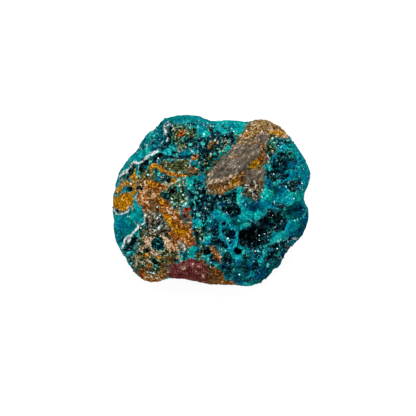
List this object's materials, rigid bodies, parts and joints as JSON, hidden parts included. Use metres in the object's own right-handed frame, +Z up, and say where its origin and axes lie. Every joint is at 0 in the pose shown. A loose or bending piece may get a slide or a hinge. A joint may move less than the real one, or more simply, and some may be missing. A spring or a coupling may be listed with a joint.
{
  "type": "rough dioptase stone",
  "caption": "Broken nugget of teal copper ore with dark crystal druse, a grey quartz vein, ochre and maroon patches and an open side cavity; lies on one flat face.",
  "frame": {"origin": "middle of the bounding box's bottom, on the flat face that the stone rests on", "axes": "+Z up, away from the resting face; +X along the longest extent, towards the side where the cavity opens; +Y along the shorter extent, away from the maroon edge"},
  "size_m": [0.032, 0.0278, 0.0183],
  "materials": {
    "copper_ore": "satin",
    "dioptase": "gloss",
    "quartz": "gloss"
  },
  "bodies": {
    "root": {"dioptase_nugget": "copper_ore"}
  },
  "joints": []
}
